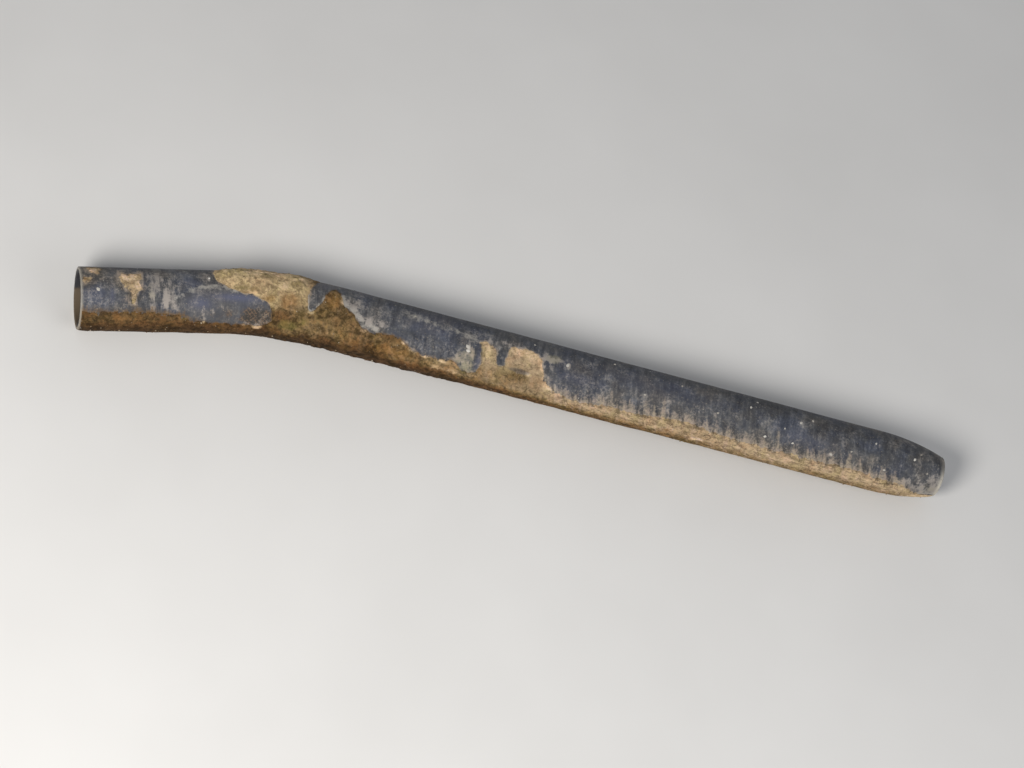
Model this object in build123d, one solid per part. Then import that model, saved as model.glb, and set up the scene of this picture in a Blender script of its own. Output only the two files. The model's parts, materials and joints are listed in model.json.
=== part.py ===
# A fired clay drain pipe in one piece: a plain square end, a straight barrel, a slow bend,
# a second and longer straight barrel, and an end drawn in to a narrower mouth.
# It lies on its side on a level floor, with the plane of the bend parallel to the floor.
# The long barrel runs along +X to the mouth. The short barrel turns back towards -X and -Y.
# Everything is in millimetres. The origin is under the middle of the pipe, on the floor.
import math
import os

from build123d import *

# Section of the barrel, the same in both straight lengths and round the bend
bore_diameter = 100.0
wall = 12.0

# Lengths along the centre line, and the bend between them
short_barrel = 285.0
bend_radius = 850.0
bend_angle = 16.0
long_barrel = 1140.0

# Drawn-in end: from the barrel the wall curves inwards in one slow arc, as far as the mouth
drawn_length = 137.0
mouth_diameter = 81.0

# Arrises, softened as they are on a fired clay end
end_rounding = 2.5
mouth_rounding = 4.0

outer_radius = bore_diameter / 2 + wall
bore_radius = bore_diameter / 2
mouth_drop = outer_radius - mouth_diameter / 2
drawn_radius = (drawn_length**2 + mouth_drop**2) / (2 * mouth_drop)

# Where the long barrel leaves the bend, and the upright axis that the bend turns about
bend_exit = (0.0, 0.0, outer_radius)
bend_axis = Axis((0.0, -bend_radius, outer_radius), (0, 0, 1))


def barrel_section():
    """The ring of clay across the barrel, standing square to +X where the long barrel begins."""
    across = Plane(origin=bend_exit, x_dir=(0, 1, 0), z_dir=(1, 0, 0))
    ring = Circle(outer_radius) - Circle(bore_radius)
    return across * ring


def bend():
    """The slow bend, turned from the long barrel back to the short one."""
    return revolve(barrel_section(), axis=bend_axis, revolution_arc=bend_angle)


def short_end():
    """The short straight barrel, from the far side of the bend to the plain square end."""
    section = barrel_section().rotate(bend_axis, bend_angle)
    along = Vector(-1, 0, 0).rotate(Axis.Z, bend_angle)
    return extrude(section, amount=short_barrel, dir=along)


def wall_profile():
    """Half of the long barrel cut lengthwise: its wall, drawn in to the mouth and rounded there.

    Along is the distance from the bend and up is the distance from the centre line. The outside
    and the inside of the drawn-in end are arcs about one centre, each tangent to the barrel, so the
    wall keeps its thickness. Both end at the flat face of the mouth, square to the centre line.
    """

    def drawn_in(start_radius, arc_radius):
        turn = math.degrees(math.asin(drawn_length / arc_radius))
        return JernArc((long_barrel, start_radius), (1, 0), arc_radius, -turn)

    outside = drawn_in(outer_radius, drawn_radius)
    inside = drawn_in(bore_radius, drawn_radius - wall)
    profile = make_face(
        [
            Line((0, bore_radius), (0, outer_radius)),
            Line((0, outer_radius), outside @ 0),
            outside,
            Line(outside @ 1, inside @ 1),
            inside,
            Line(inside @ 0, (0, bore_radius)),
        ]
    )
    mouth_corners = profile.vertices().sort_by(Axis.X)[-2:]
    return fillet(mouth_corners, min(mouth_rounding, wall / 3))


def long_end():
    """The long barrel with its drawn-in end, turned about the centre line."""
    upright = Plane(origin=bend_exit, x_dir=(1, 0, 0), z_dir=(0, -1, 0))
    centre_line = Axis(bend_exit, (1, 0, 0))
    return revolve(upright * wall_profile(), axis=centre_line)


def drain_pipe():
    """The whole pipe as one solid, with the arrises of its square end softened."""
    pipe = short_end() + bend() + long_end()
    square_end = pipe.faces().filter_by(GeomType.PLANE).sort_by(Axis.X)[0]
    pipe = fillet(square_end.edges(), min(end_rounding, wall / 3))
    box = pipe.bounding_box()
    floor_point = Vector(box.center().X, box.center().Y, box.min.Z)
    return pipe.moved(Location(-floor_point))


os.makedirs("parts", exist_ok=True)
export_step(drain_pipe(), "parts/pipe.step")
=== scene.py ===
import json
import math

import bpy
import numpy as np
from mathutils import Matrix, Vector, noise


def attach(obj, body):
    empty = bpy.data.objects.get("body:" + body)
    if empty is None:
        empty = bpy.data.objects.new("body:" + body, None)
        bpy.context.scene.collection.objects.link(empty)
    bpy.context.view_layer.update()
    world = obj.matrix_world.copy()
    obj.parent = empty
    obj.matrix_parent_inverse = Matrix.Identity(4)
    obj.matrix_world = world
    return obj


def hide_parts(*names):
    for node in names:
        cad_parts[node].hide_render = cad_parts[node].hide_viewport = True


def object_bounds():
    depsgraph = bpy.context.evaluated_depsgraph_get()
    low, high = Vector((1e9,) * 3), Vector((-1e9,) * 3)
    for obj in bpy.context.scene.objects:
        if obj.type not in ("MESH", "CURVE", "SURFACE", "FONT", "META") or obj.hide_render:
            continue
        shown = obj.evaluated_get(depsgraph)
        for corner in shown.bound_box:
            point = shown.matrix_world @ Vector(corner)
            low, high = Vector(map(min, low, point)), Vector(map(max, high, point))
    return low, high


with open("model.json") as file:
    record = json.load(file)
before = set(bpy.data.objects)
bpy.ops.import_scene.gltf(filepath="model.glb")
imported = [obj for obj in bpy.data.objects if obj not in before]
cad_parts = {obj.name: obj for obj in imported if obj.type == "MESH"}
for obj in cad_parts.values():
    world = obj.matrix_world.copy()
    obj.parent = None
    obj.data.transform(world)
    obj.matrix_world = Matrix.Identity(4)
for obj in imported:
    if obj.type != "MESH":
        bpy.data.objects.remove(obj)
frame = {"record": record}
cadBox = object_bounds()
print("frame loaded")


# Node trees are written with two small classes: one wraps a socket, the other adds nodes.
class Socket:
    def __init__(self, maker, socket):
        self.maker, self.socket = maker, socket

    def __add__(self, other):
        return self.maker.maths("ADD", self, other)

    def __radd__(self, other):
        return self.maker.maths("ADD", other, self)

    def __sub__(self, other):
        return self.maker.maths("SUBTRACT", self, other)

    def __rsub__(self, other):
        return self.maker.maths("SUBTRACT", other, self)

    def __mul__(self, other):
        return self.maker.maths("MULTIPLY", self, other)

    def __rmul__(self, other):
        return self.maker.maths("MULTIPLY", other, self)

    def __truediv__(self, other):
        return self.maker.maths("DIVIDE", self, other)

    def __rtruediv__(self, other):
        return self.maker.maths("DIVIDE", other, self)

    def part(self, name):                         # another output of the same node
        return Socket(self.maker, self.socket.node.outputs[name])


class Maker:
    def __init__(self, tree, colours=None):
        self.tree, self.colours = tree, colours or {}

    def named(self, colour):                      # a colour by its name, or a socket as it is
        colour = self.colours.get(colour, colour)
        return (*colour, 1.0) if isinstance(colour, tuple) else colour

    def add(self, kind, settings=None, inputs=None, output=0):
        node = self.tree.nodes.new(kind)
        for name, value in (settings or {}).items():
            if name == "stops":
                self.setStops(node.color_ramp, value)
            else:
                setattr(node, name, value)
        for name, value in (inputs or {}).items():
            if isinstance(value, Socket):
                self.tree.links.new(value.socket, node.inputs[name])
            else:
                node.inputs[name].default_value = value
        return Socket(self, node.outputs[output]) if node.outputs else None

    def setStops(self, ramp, stops):
        while len(ramp.elements) < len(stops):
            ramp.elements.new(1.0)
        for element, (place, colour) in zip(ramp.elements, stops):
            element.position, element.color = place, self.named(colour)

    def maths(self, operation, *values):
        return self.add("ShaderNodeMath", {"operation": operation}, dict(enumerate(values)))

    def vector(self, operation, *values):
        return self.add("ShaderNodeVectorMath", {"operation": operation}, dict(enumerate(values)))

    def scaled(self, vector, factor):
        return self.add("ShaderNodeVectorMath", {"operation": "SCALE"}, {0: vector, "Scale": factor})

    def axes(self, vector):                       # gives X, with Y and Z as its other parts
        return self.add("ShaderNodeSeparateXYZ", {}, {0: vector})

    def joined(self, x, y, z):
        return self.add("ShaderNodeCombineXYZ", {}, {0: x, 1: y, 2: z})

    def mixed(self, factor, first, second, blend="MIX"):
        inputs = {0: factor, 6: self.named(first), 7: self.named(second)}
        return self.add("ShaderNodeMix", {"data_type": "RGBA", "blend_type": blend}, inputs, 2)

    def layered(self, colour, *layers):           # each layer says how much of it shows, and its colour
        for amount, over, *blend in layers:
            colour = self.mixed(amount, colour, over, *blend)
        return colour

    def ramp(self, value, *stops):
        return self.add("ShaderNodeValToRGB", {"stops": stops}, {0: value})

    def swing(self, pattern, reach, low, high):   # factors for a colour on both sides of a pattern's middle
        return self.ramp(pattern, (0.5 - reach, low), (0.5, (1.0, 1.0, 1.0)), (0.5 + reach, high))

    def between(self, value, low, high):          # 0 below low, 1 above high, smooth between them
        settings = {"interpolation_type": "SMOOTHSTEP"}
        return self.add("ShaderNodeMapRange", settings, {0: value, 1: low, 2: high, 3: 0.0, 4: 1.0})

    def edged(self, mask, pattern, sway, low, high):      # the same, with a pattern in its edge
        return self.between(mask + (pattern - 0.5) * sway, low, high)

    def noise(self, place, scale, detail=4.0, rough=0.55, twist=0.0):
        inputs = {"Vector": place, "Scale": scale, "Detail": detail, "Roughness": rough, "Distortion": twist}
        return self.add("ShaderNodeTexNoise", {}, inputs)

    def runs(self, place, along, down, detail, rough):    # noise drawn out down the wall's sides
        parts = self.axes(place)
        drawn = self.joined(self.attribute("runAt") * along, parts.part("Y") * down, parts.part("Z") * down)
        return self.noise(drawn, 1.0, detail, rough, 0.3)

    def bump(self, height, strength, distance):
        inputs = {"Strength": strength, "Distance": distance, "Height": height}
        return self.add("ShaderNodeBump", {}, inputs)

    def objectPlace(self):
        return self.add("ShaderNodeTexCoord").part("Object")

    def attribute(self, name):
        return self.add("ShaderNodeAttribute", {"attribute_name": name}).part("Fac")

    def attributes(self, *names):
        return [self.attribute(name) for name in names]

    def stored(self, name, kind="FLOAT"):         # an attribute, in a geometry tree
        return self.add("GeometryNodeInputNamedAttribute", {"data_type": kind}, {"Name": name})

    def chance(self, low, high, seed):            # a random number for each point, or a random vector
        kind, at = ("FLOAT_VECTOR", 0) if isinstance(low, tuple) else ("FLOAT", 2)
        inputs = {at: low, at + 1: high, "Seed": seed}
        return self.add("FunctionNodeRandomValue", {"data_type": kind}, inputs, at // 2)

    def mudEdge(self, place, cover, fringe):      # how far the mud covers, and the gaps between its runs
        mottle, fine = self.noise(place, 75.0, 5.0, 0.65), self.noise(place, 210.0, 4.0, 0.7)
        wideRuns = self.runs(place, 58.0, 11.0, 3.0, 0.55)
        ragged = (mottle - 0.5) * 0.026 + (fine - 0.5) * 0.020 + (wideRuns - 0.5) * 0.022
        edge = cover + ragged * (0.35 + self.between(fringe, 0.004, 0.014) * 0.65)
        gaps = self.between(0.5 - wideRuns, -0.01, 0.06)
        return self.between(edge, -0.0025, 0.0015), gaps, wideRuns, mottle, fine


# The pipe's sizes. The straight barrels, the bend and the tip come from the frame.
pipeSizes = {
    "endRounding": 0.0025,
    "mouthDiameter": 0.081,
    "mouthRounding": 0.004,
    "outsideStep": 0.0034,         # spacing of the mesh along the outside
    "insideStep": 0.015,
    "lipStep": 0.0012,             # and round the lips
    "drawnSteps": 30,              # points along the curve of the drawn-in end
    "around": 128,
    "centreSteps": 600,
    "waviness": 0.0009,            # how far the fired wall wanders from true
    "waveLength": 0.15,
    "restHeight": 0.0004,          # the wall's lowest point above the floor
}

mounts = {mount["name"]: mount for mount in frame["record"]["mounts"]}


def straightWall(name):
    mount = mounts[name]
    middle, axis = Vector(mount["pos_m"]), Vector(mount["axis"]).normalized()
    half = axis * mount["dims"]["length_mm"] / 2000
    return middle - half, middle + half, axis


bendStart, squareEnd, outOfShortEnd = straightWall("short_end")
bendEnd, shoulderStart, longAxis = straightWall("long_barrel")
squareEnd += outOfShortEnd * pipeSizes["endRounding"]
outerRadius = mounts["long_barrel"]["dims"]["r_mm"] / 1000
boreRadius = mounts["short_bore"]["dims"]["r_mm"] / 1000
wall = outerRadius - boreRadius
bendAngle = (-outOfShortEnd).angle(longAxis)
bendRadius = (bendEnd - bendStart).length / (2 * math.sin(bendAngle / 2))
bendFrom = (bendStart - squareEnd).length
bendTo = bendFrom + bendRadius * bendAngle
pipeLength = bendTo + cadBox[1].x - bendEnd.x
drawnFrom = bendTo + (shoulderStart - bendEnd).length        # where the end begins to be drawn in
drawnLength = pipeLength - drawnFrom
mouthDrop = outerRadius - pipeSizes["mouthDiameter"] / 2
drawnRadius = (drawnLength ** 2 + mouthDrop ** 2) / (2 * mouthDrop)


def centreLine(along):                            # along is in metres from the square end
    along = np.asarray(along, float)
    turned = np.clip(bendTo - along, 0, bendTo - bendFrom) / bendRadius
    straight = np.maximum(along - bendTo, 0) - np.maximum(bendFrom - along, 0)
    points = np.zeros(along.shape + (3,))
    points[..., 0] = bendEnd.x - bendRadius * np.sin(turned) + straight * np.cos(turned)
    points[..., 1] = bendEnd.y - bendRadius * (1 - np.cos(turned)) + straight * np.sin(turned)
    points[..., 2] = bendEnd.z
    return points, turned


def onPipe(along, turn, radius):                  # turn is 0 on top and grows towards -Y
    points, turned = centreLine(along)
    points[..., 0] += radius * np.sin(turn) * np.sin(turned)
    points[..., 1] -= radius * np.sin(turn) * np.cos(turned)
    points[..., 2] += radius * np.cos(turn)
    return points


def outerRadiusAt(along):                         # less where the end is drawn in
    past = np.clip(along - drawnFrom, 0, drawnLength)
    return outerRadius - drawnRadius + np.sqrt(drawnRadius ** 2 - past ** 2)


def roundedPath(corners, radii, steps):           # a closed outline with an arc at each corner
    arcs = []
    for i, radius in enumerate(radii):
        before, here, after = (Vector(corners[(i + k) % len(corners)]) for k in (-1, 0, 1))
        if radius == 0:
            arcs.append([here])
            continue
        inward, outward = (here - before).normalized(), (after - here).normalized()
        turn = math.atan2(inward.cross(outward), inward.dot(outward))
        start = here - inward * radius * math.tan(abs(turn) / 2)
        centre = start + Vector((-inward.y, inward.x)) * math.copysign(radius, turn)
        pieces = max(4, math.ceil(radius * abs(turn) / pipeSizes["lipStep"]))
        spins = [Matrix.Rotation(turn * k / pieces, 2) for k in range(pieces + 1)]
        arcs.append([centre + spin @ (start - centre) for spin in spins])
    points = []
    for arc, onward, step in zip(arcs, arcs[1:] + arcs[:1], steps):
        pieces = max(1, math.ceil((onward[0] - arc[-1]).length / step))
        points += arc + [arc[-1].lerp(onward[0], k / pieces) for k in range(1, pieces)]
    return np.array(points)


def drawnIn(startRadius, arcRadius):              # the curve of the drawn-in end, up to its lip
    lipFrom = drawnLength - 3 * pipeSizes["mouthRounding"]
    pasts = np.linspace(0, lipFrom, pipeSizes["drawnSteps"])
    radii = startRadius - arcRadius + np.sqrt(arcRadius ** 2 - pasts ** 2)
    return list(zip(drawnFrom + pasts, radii))


def wallOutline():                                # the wall cut lengthwise, as (along, radius)
    innerArc = drawnRadius - wall
    innerMouth = boreRadius - innerArc + math.sqrt(innerArc ** 2 - drawnLength ** 2)
    outside, inside = drawnIn(outerRadius, drawnRadius), drawnIn(boreRadius, innerArc)[::-1]
    corners = [(0, boreRadius), (0, outerRadius), *outside,
               (pipeLength, pipeSizes["mouthDiameter"] / 2), (pipeLength, innerMouth), *inside]
    end, lip, plain = pipeSizes["endRounding"], pipeSizes["mouthRounding"], [0] * len(outside)
    outer, inner, rim = (pipeSizes[k] for k in ("outsideStep", "insideStep", "lipStep"))
    return roundedPath(corners, [end, end, *plain, lip, lip, *plain],
                       [rim, outer, *[outer] * len(outside), rim, inner, *[inner] * len(inside)])


# Where the mud lies, as outlines on the unrolled pipe: millimetres from the square end, and degrees
# round the wall from the top, towards the side that the camera sees.
mudOutlines = {
    "bandAndClod": [
        (-60, 56), (20, 57), (100, 54), (135, 56), (190, 60), (212, 70), (262, 74), (362, 77),
        (379, 62), (377, 40), (366, 28), (350, 21), (325, 16), (300, 11), (284, 4), (270, -3),
        (262, -14), (259, -30), (268, -50), (285, -72), (310, -105), (330, -125), (420, -125),
        (455, -92), (468, -68), (469, -50), (460, -30), (451, -10), (447, 8), (448, 24), (456, 33),
        (465, 28), (474, 14), (479, 4), (485, -11), (493, -22), (500, -25), (508, -18), (514, -3),
        (520, 8), (532, 16), (545, 21), (553, 29), (562, 38), (574, 44), (600, 44), (625, 40),
        (645, 41), (660, 50), (680, 58), (700, 62), (730, 60), (752, 55), (764, 60), (776, 67),
        (792, 72), (806, 66), (813, 52), (808, 24), (799, 9), (812, 3), (828, 10), (839, 18),
        (846, 38), (855, 44), (862, 40), (861, 24), (858, 10), (868, 3), (890, -3), (905, -3),
        (921, 2), (931, 14), (937, 30), (947, 46), (962, 60), (985, 67), (1012, 72), (1045, 72),
        (1068, 66), (1130, 66), (1165, 63), (1200, 58), (1262, 55), (1300, 62), (1345, 66),
        (1500, 66), (1560, 64), (1605, 62), (1645, 66), (1695, 68), (1718, 73), (1738, 82),
        (1758, 92), (1790, 101), (1860, 110), (1860, 245), (1500, 238), (1200, 248), (900, 240),
        (600, 250), (250, 238), (-60, 245),
    ],
    "creamPatch": [
        (75, -10), (80, -20), (92, -18), (104, -21), (117, -22), (119, -10), (115, 2), (117, 14),
        (108, 20), (105, 34), (103, 42), (97, 44), (95, 32), (91, 18), (81, 9), (77, -1),
    ],
    "endPatch": [(12, -40), (30, -44), (46, -34), (40, -24), (42, -16), (28, -13), (20, -20)],
    "endCrumb": [(4, -12), (14, -8), (22, -10), (20, 0), (12, 2), (8, 6), (2, 0)],
}
# Dried films, which have no thickness
filmOutlines = {
    "streaks": [(124, -26), (186, -28), (196, 16), (192, 54), (126, 54)],
    "ash": [(756, 48), (768, 36), (784, 26), (797, 32), (806, 62), (800, 84), (766, 84), (748, 60)],
    "smooth": [
        (190, 30), (204, 17), (222, 9), (245, 4), (268, 2), (300, 11), (350, 21), (368, 30),
        (382, 44), (382, 80), (262, 78), (212, 72), (194, 62),
    ],
}
# Pale lines where water stood: how wide in millimetres, how strong, and where
tideLines = [
    (8.0, 0.6, [(184, 30), (204, 17), (222, 9), (245, 4), (268, 3), (285, 8), (306, 14)]),
    (13.0, 0.5, [(640, -12), (675, -9), (700, -5), (722, 1), (745, -1), (775, 3), (798, 8)]),
    (4.5, 0.9, [(450, -12), (446, 6), (448, 24), (456, 33), (466, 27), (475, 13), (481, 2)]),
    (11.0, 0.8, [(514, -10), (522, 4), (536, 11), (552, 21), (568, 33), (592, 36)]),
    (6.0, 1.0, [(1738, 93), (1766, 91), (1796, 87)]),
]
# Marks on the clay and on the mud: where, how long and how high in the same units, and how strong
marks = {
    "pale": [
        (28, -28, 18, 12, 0.6), (78, 16, 14, 14, 0.3), (93, -12, 22, 11, 1.0), (100, 38, 6, 9, 1.0),
        (111, 8, 9, 14, 0.9), (118, 28, 8, 12, 0.5), (136, 24, 9, 18, 0.6), (140, 50, 6, 6, 0.9),
        (158, -10, 7, 12, 0.7), (165, 28, 8, 26, 0.9), (183, 45, 6, 12, 0.7), (238, 50, 4, 18, 0.8),
        (241, 68, 4, 9, 1.0), (250, -12, 5, 10, 0.8), (258, 50, 4, 9, 0.7), (276, 47, 3, 8, 0.4),
        # The broad pale marks over the clod's far top, at -34 and -60 degrees, are painted light where the
        # lamps reach it weakly
        (305, -28, 30, 13, 0.3), (325, 74, 16, 6, 0.5), (330, -34, 70, 18, 0.8),
        (350, -60, 90, 26, 1.0), (350, 77, 12, 8, 0.9), (400, -8, 18, 12, 0.5), (430, -22, 12, 16, 0.6),
        (448, 44, 14, 8, 0.4), (457, 34, 9, 5, 0.9), (458, 0, 9, 20, 0.4), (463, 2, 10, 14, 0.4),
        (524, 1, 12, 11, 1.0), (542, 8, 13, 10, 1.0), (546, -4, 7, 15, 0.7), (548, 19, 5, 6, 0.6),
        (560, 26, 8, 8, 1.0), (570, 44, 18, 7, 0.5), (576, 30, 11, 10, 1.0), (593, 34, 10, 7, 0.8),
        (604, 24, 24, 9, 0.9), (655, 46, 8, 5, 0.8), (676, 56, 11, 5, 0.9), (690, 12, 40, 14, 0.2),
        (702, 62, 14, 4, 0.8), (728, 76, 26, 9, 0.5), (736, 62, 16, 5, 0.7), (772, 78, 34, 9, 0.45),
        (782, 28, 5, 14, 0.9), (802, 55, 5, 9, 0.7), (812, 6, 12, 4, 1.0), (822, 22, 10, 22, 0.8),
        (852, -3, 18, 7, 0.7), (880, 1, 10, 5, 1.0), (893, 8, 34, 15, 1.0), (905, 0, 15, 5, 1.0),
        (912, 46, 9, 5, 0.8), (924, 10, 7, 9, 1.0), (935, 27, 7, 11, 0.9), (945, 6, 18, 10, 1.0),
        (946, 42, 8, 8, 0.8), (953, 20, 10, 12, 0.6), (962, 60, 20, 12, 0.9), (968, 6, 16, 8, 1.0),
        (986, 9, 6, 8, 1.0), (1040, 76, 40, 6, 0.4), (1060, 54, 6, 9, 0.7), (1105, 32, 8, 12, 0.5),
        (1130, 74, 40, 6, 0.4), (1200, 28, 14, 8, 0.5), (1215, 44, 18, 10, 0.35),
        (1280, 88, 16, 6, 1.0), (1300, 22, 8, 10, 0.4), (1450, 80, 120, 12, 0.4),
        (1550, 25, 10, 3, 0.6), (1552, 46, 7, 6, 0.8), (1608, 54, 14, 8, 0.6), (1640, 4, 12, 9, 0.4),
        (1640, 80, 80, 12, 0.4), (1722, 62, 14, 13, 1.0), (1745, 25, 50, 40, 0.22),
        # The pale mark at 108 degrees under the mouth is painted light, as if bounced up from the ground
        (1752, 72, 30, 22, 0.85), (1765, 108, 45, 14, 1.0), (1775, 50, 20, 20, 0.6),
        (1787, 72, 30, 30, 0.9),
    ],
    "lilac": [
        (24, 24, 24, 16, 0.5), (60, 26, 5, 18, 0.9), (98, -12, 18, 6, 0.45), (215, -2, 20, 9, 0.5),
        (232, 36, 22, 12, 0.8), (305, 24, 55, 8, 1.0), (350, 77, 14, 7, 0.6), (480, -30, 16, 12, 0.5),
        (700, -20, 70, 20, 0.4), (700, 8, 70, 14, 0.5), (808, 40, 7, 24, 0.9), (892, 43, 26, 6, 1.0),
        (1010, 28, 40, 12, 0.5), (1150, 4, 160, 22, 0.35), (1500, 30, 60, 14, 0.4),
    ],
    "dark": [
        # The long dark marks low on the near side, at 76 to 92 degrees, are painted shade along the pipe's
        # lower edge and under the flake at 372 mm
        (45, 46, 45, 9, 0.4), (52, -1, 14, 10, 1.0), (60, 92, 90, 10, 0.5), (160, 44, 40, 8, 0.3),
        (220, 88, 90, 12, 0.7), (290, 56, 60, 14, 0.35), (352, 59, 38, 18, 1.15),
        (372, 82, 26, 10, 1.0), (452, 84, 20, 9, 0.8), (520, 82, 60, 10, 0.6), (610, 76, 50, 12, 0.7),
        (690, 30, 60, 14, 0.6), (700, 41, 60, 8, 1.0), (720, 84, 60, 10, 0.8), (730, 38, 22, 14, 1.4),
        (772, -22, 26, 11, 0.8), (806, 34, 5, 26, 1.0), (850, 28, 9, 16, 0.5), (893, 50, 28, 14, 1.0),
        (1010, 32, 22, 18, 1.4), (1012, 56, 5, 11, 0.8), (1040, 46, 10, 12, 0.8),
        (1130, 10, 30, 12, 0.4), (1600, -14, 60, 12, 0.5),
    ],
    "moss": [
        (136, 20, 12, 20, 0.6), (203, 66, 14, 7, 0.6), (286, -16, 18, 14, 0.5), (326, 6, 36, 8, 0.8),
        (416, 66, 28, 12, 1.0), (446, 54, 18, 10, 0.7), (570, 30, 26, 12, 0.4), (784, 68, 14, 16, 1.0),
        (955, 4, 20, 12, 1.0), (1020, 10, 24, 8, 0.4), (1250, 76, 30, 8, 0.5), (1418, 57, 8, 5, 0.6),
        (1540, 96, 30, 8, 0.5), (1772, 72, 36, 24, 0.6),
    ],
    "rust": [
        (12, -4, 12, 8, 0.7), (90, 70, 60, 12, 0.5), (98, -1, 7, 8, 0.5), (370, 21, 20, 11, 0.85),
        (412, 20, 34, 18, 0.9), (497, 8, 16, 22, 1.0), (536, 64, 40, 16, 0.6), (640, 68, 55, 14, 1.0),
        (720, 74, 40, 10, 0.5), (884, 20, 20, 12, 0.5), (1215, 84, 30, 8, 0.5), (1370, 76, 40, 6, 0.5),
    ],
}
# Pale crumbs stuck to the wall: where, and how wide in millimetres
flecks = [
    (33, 16, 8.0), (251, -14, 5.0), (780, 24, 9.5), (782, 31, 8.0), (984, 9, 8.0), (1370, -5, 6.0),
    (1478, 0, 6.5), (1503, -12, 6.0), (1410, 44, 6.0), (1469, 43, 5.0), (1552, 45, 6.5),
    (1223, -12, 5.5), (1384, -23, 5.0), (1741, -5, 5.0), (1727, 12, 6.5), (1640, 2, 5.0),
    (1304, 24, 4.5), (1150, 26, 5.0), (1668, 48, 5.0), (1592, 30, 4.5), (1446, 20, 4.0),
    (1080, -24, 4.5), (912, -18, 4.0), (664, -10, 4.5), (1760, 34, 4.5),
]
# Values along the pipe: millimetres from the square end, and millimetres or a share
mudAlong = {
    "drips": [(0, 1.2), (600, 1.6), (660, 2.6), (960, 3.6), (1000, 5.0), (1700, 5.0), (1760, 1.5)],
    "ragged": [(0, 3.6), (240, 2.8), (600, 3.2), (1800, 3.0)],
    # Along the short barrel the high dampness also paints the shade that lies on its mud
    "dampnessAndShade": [
        (0, 0.91), (300, 0.90), (380, 0.72), (470, 0.67), (600, 0.68), (690, 0.60), (760, 0.50),
        (860, 0.40), (940, 0.32), (1000, 0.18), (1300, 0.12), (1350, 0.03), (1800, 0.03),
    ],
    "fringe": [
        (0, 18), (220, 14), (260, 6), (560, 4), (600, 7), (680, 9), (760, 8), (860, 3), (930, 4),
        (990, 30), (1400, 31), (1700, 28), (1770, 8),
    ],
    # Above 0 these darken the slate's top and back, a washed wall with painted shade in it; below 0 they
    # lighten it
    "washed": [
        (50, -1.2), (80, -0.2), (130, -0.2), (150, -2.0), (205, -2.0), (240, -0.6), (260, 0.0),
        (450, 0.0), (520, -0.6), (600, -0.9), (640, -0.1), (700, 0.4), (790, 0.0), (960, -0.2),
        (1010, 0.0), (1300, 0.0), (1350, 0.7), (1430, 0.9), (1480, 0.6), (1520, -0.1), (1640, -0.2),
        (1700, -0.8), (1750, -1.2),
    ],
    # The crown values paint shade along the top and back of the slate
    "crownShade": [
        (560, 0.0), (600, 1.6), (630, 3.0), (720, 2.8), (770, 1.2), (830, 0.8), (900, 0.8), (1000, 1.5),
        (1300, 1.6), (1350, 1.1), (1480, 0.9), (1520, 0.1), (1640, 0.1), (1740, 0.0),
    ],
    # How much darker the mud's underside is made: dampness, and painted shade where it faces the ground
    "undersideDampAndShade": [
        (0, 0.45), (240, 0.45), (280, 0.1), (310, 0.2), (350, 1.0), (600, 1.1), (700, 0.85),
        (1000, 0.7), (1300, 0.55), (1350, 0.45), (1800, 0.4),
    ],
    "lean": [(0, 0.0), (450, 0.0), (750, 0.34), (1800, 0.34)],
}
# Where things fade in and, with four numbers, out again: in the same millimetres or degrees
fades = {
    "clod": (235, 275, 425, 470),
    "belowClod": (18, 46),
    "behindClod": (98, 128),
    "lumps": (350, 430, 640, 880),
    "lowLump": (455, 480),
    "dryTop": (36, 62),
    "undersideDampAndShade": (79, 105),
    "washedSide": (-24, 36),
    "crownSide": (-26, -8),
    "backSide": (-150, -60),
    "wornSide": (0, 50, 105, 150),
    "wornLip": (3, 12),            # millimetres from the mouth
    "wornEnd": (0.5, 5),
}

# The mud is a few closed crusts, so that each keeps a fine mesh.
crusts = {
    "mud_short_barrel": {"from": -0.010, "to": 0.246, "step": 0.0020},
    "mud_bend": {"from": 0.230, "to": 0.612, "step": 0.0018},
    "mud_long_barrel": {"from": 0.598, "to": 1.230, "step": 0.0020},
    "mud_drawn_end": {"from": 1.214, "to": 1.820, "step": 0.0020},
}
crustSizes = {
    "film": 0.0011,                # thickness of the thin silt
    "clod": 0.0042,                # and what the clay clod over the bend adds
    "lump": 0.0026,                # and the damp clay below it
    "edge": 0.0035,                # how far in from its edge the mud reaches its thickness
    "dip": 0.0009,                 # how far the crust sinks into the wall past its edge
    "root": 0.0030,                # depth of the crust's hidden side in the wall
    "dripSize": 0.012,             # the edge's drips
    "dripDraw": 0.22,              # how much they are drawn out downwards: less is longer
    "raggedSize": 0.016,
    "clearOfEnd": 0.003,           # how far the mud stays from the square end
    "clearOfMouth": 0.006,
    "meshMargin": 0.001,
    "restHeight": 0.0002,
}
# And more places, in the same millimetres or degrees
mudPlaces = {
    "dryEnd": 220,                 # up to here the mud is dry, this far round from its middle
    "dryMiddle": -20,
    "dryReach": 64,
    "dryDamp": 0.06,               # a share, as in mudAlong
    "dryTopFrom": 780,             # between these it is dry towards the top
    "dryTopTo": 980,
    "lowLumpEnd": 600,
    "clodWander": 14,              # how far the clod's lower edge wanders
}


def fractal(points, size, octaves=4, shift=0.0):
    return np.array([noise.fractal(Vector(p), 1.0, 2.0, octaves) for p in points / size + shift])


def eased(value, low, high):
    t = np.clip((value - low) / (high - low), 0, 1)
    return t * t * (3 - 2 * t)


def fading(name, value):                          # 1 inside the edges that fades gives, 0 outside
    edges = fades[name]
    shown = eased(value, *edges[:2])
    return shown * (1 - eased(value, *edges[2:])) if edges[2:] else shown


def byPlace(name, mm):                            # reads a list of mudAlong between its points
    places, values = np.array(mudAlong[name], float).T
    return np.interp(mm, places, values)


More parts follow.
